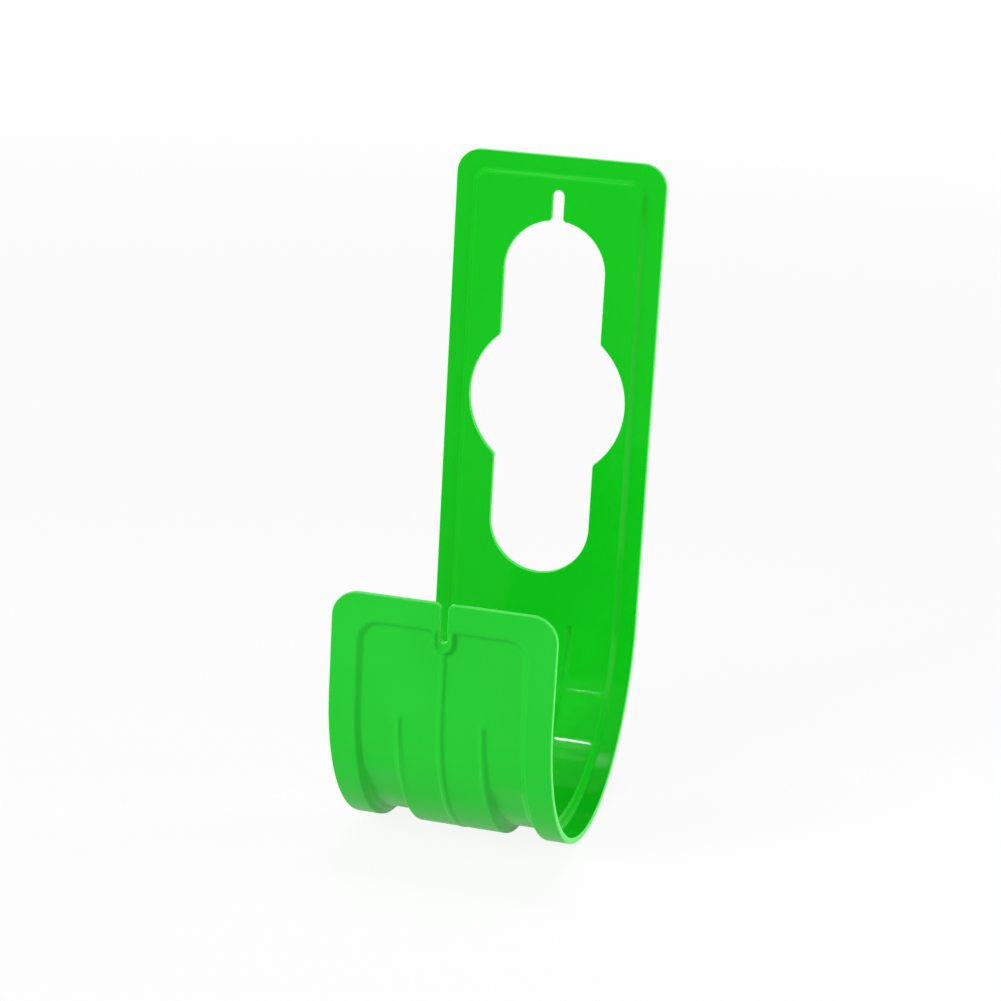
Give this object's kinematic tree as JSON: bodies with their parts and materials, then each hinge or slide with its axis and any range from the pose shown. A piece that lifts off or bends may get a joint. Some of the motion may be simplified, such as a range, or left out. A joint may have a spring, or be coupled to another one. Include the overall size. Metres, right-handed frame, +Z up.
{
  "type": "hose hanger",
  "caption": "Wall hanger for a garden hose: a wide moulded strip bent into a J, with a keyed cut-out and screw slot in its tall back and a notched front flap.",
  "frame": {"origin": "middle of the fixing screw's shank when it sits in the round end of the screw slot, in the plane of the wall", "axes": "+X to the viewer's right, +Y into the wall, +Z up; the saddle and the front flap are on the -Y side"},
  "size_m": [0.105, 0.167, 0.312],
  "materials": {
    "moulded_green": "bright green injection moulded plastic, glossy, through-coloured"
  },
  "bodies": {
    "root": {"hanger": "moulded_green"}
  },
  "joints": []
}
